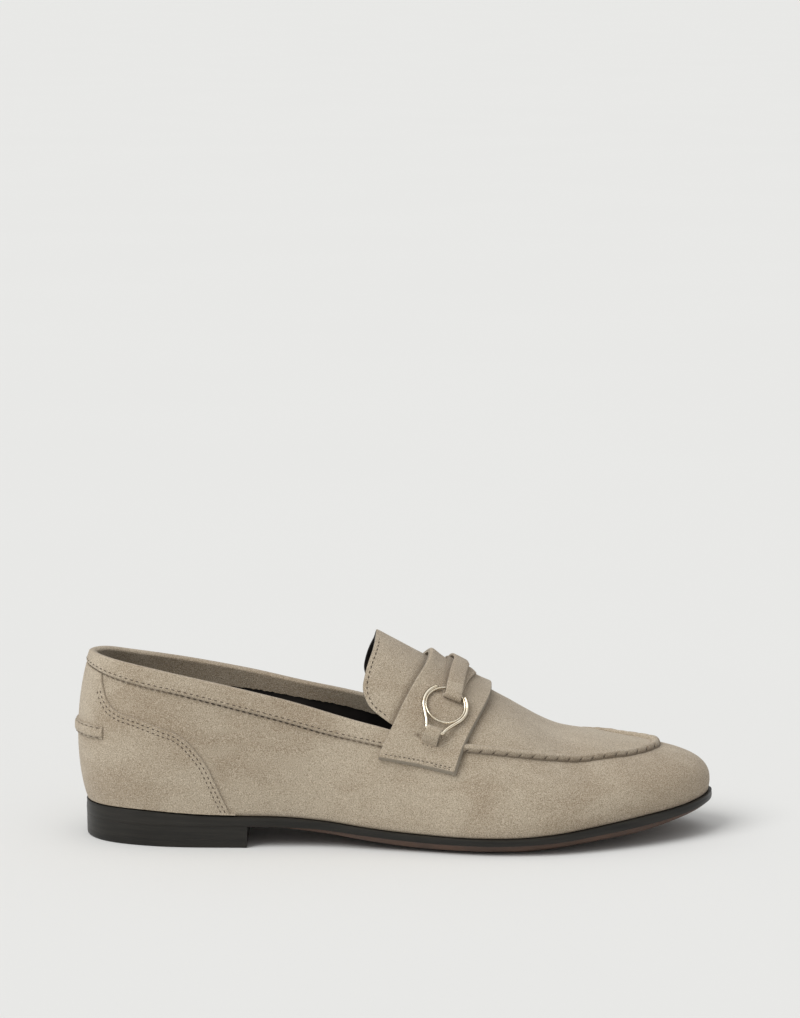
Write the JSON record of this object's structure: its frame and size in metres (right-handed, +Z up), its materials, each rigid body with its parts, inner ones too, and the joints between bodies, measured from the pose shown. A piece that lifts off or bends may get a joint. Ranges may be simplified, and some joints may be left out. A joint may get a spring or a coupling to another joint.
{
  "type": "bit loafer",
  "caption": "Low slip-on suede loafer with a raised seam round the toe, a saddle strap with a ring bit on each side, a thin leather sole and a low stacked heel.",
  "frame": {"origin": "middle of the heel's flat underside, on the floor", "axes": "+X towards the toe, +Y to the medial side, +Z up"},
  "size_m": [0.3014, 0.0974, 0.0963],
  "materials": {
    "suede": "brushed stone-coloured suede, matt",
    "edge_leather": "dyed and polished sole edge, semi-gloss, with a brown bevel below",
    "heel_stack": "polished dark stacked heel, semi-gloss",
    "lining_leather": "dark smooth lining leather",
    "pale_gold": "polished pale gold plating"
  },
  "bodies": {
    "root": {"outsole": "edge_leather", "heel": "heel_stack", "insole": "lining_leather", "upper": "suede", "counter": "suede", "collar_band": "suede", "heel_tab": "suede", "moc_seam": "suede", "tongue": "suede", "saddle_strap": "suede", "bit_strap": "suede", "bit_lateral": "pale_gold", "bit_medial": "pale_gold", "ring_tab_lateral": "suede", "ring_tab_medial": "suede"}
  },
  "joints": []
}
